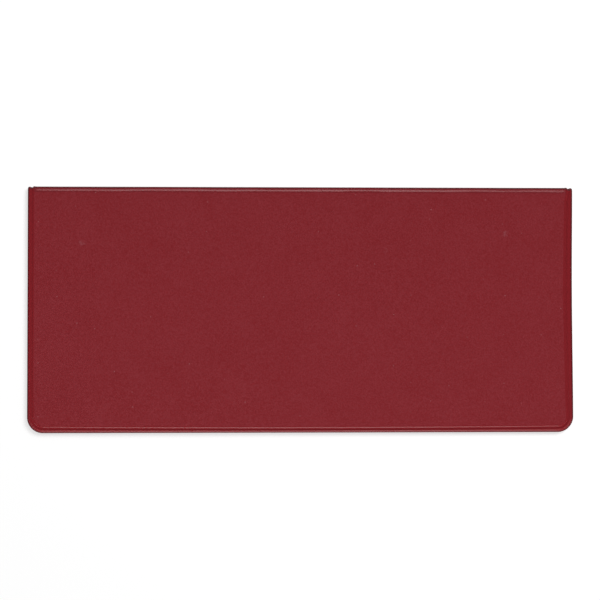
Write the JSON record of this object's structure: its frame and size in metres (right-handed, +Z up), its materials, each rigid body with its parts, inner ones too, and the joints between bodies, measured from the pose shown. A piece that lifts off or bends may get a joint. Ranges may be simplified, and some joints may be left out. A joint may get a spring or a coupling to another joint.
{
  "type": "certificate of deposit holder",
  "caption": "Flat folding vinyl holder for a folded certificate, with clear pockets inside and a heat-welded border. It opens like a book about a soft fold.",
  "frame": {"origin": "under the middle of the closed holder, on the surface that it lies on", "axes": "+X along the fold, +Y from the open edge to the fold, +Z up out of the front cover"},
  "size_m": [0.2254, 0.1016, 0.003],
  "materials": {
    "cover_vinyl": "opaque burgundy vinyl with a fine matte grain",
    "welded_vinyl": "burgundy vinyl, smoothed and darkened by the welding tool",
    "clear_vinyl": "clear glossy vinyl"
  },
  "bodies": {
    "back_half": {"back_cover": "cover_vinyl", "back_pocket": "clear_vinyl", "back_edge_weld": "welded_vinyl", "back_left_weld": "welded_vinyl", "back_left_corner_weld": "welded_vinyl", "back_right_weld": "welded_vinyl", "back_right_corner_weld": "welded_vinyl", "back_fold_lip": "cover_vinyl"},
    "fold": {"fold_strip": "cover_vinyl"},
    "front_half": {"front_fold_lip": "cover_vinyl", "front_cover": "cover_vinyl", "front_pocket": "clear_vinyl", "front_edge_weld": "welded_vinyl", "front_left_weld": "welded_vinyl", "front_left_corner_weld": "welded_vinyl", "front_right_weld": "welded_vinyl", "front_right_corner_weld": "welded_vinyl"}
  },
  "joints": [
    {"name": "back_crease", "type": "hinge", "parent": "back_half", "child": "fold", "pos_m": [0, 0.05036, 0.00044], "axis": [-1, 0, 0], "range_deg": [0, 90]},
    {"name": "front_crease", "type": "hinge", "parent": "fold", "child": "front_half", "pos_m": [0, 0.05036, 0.00256], "axis": [-1, 0, 0], "range_deg": [0, 90]}
  ],
  "couplings": [
    {"joint": "front_crease", "follows": "back_crease", "ratio": 1}
  ]
}
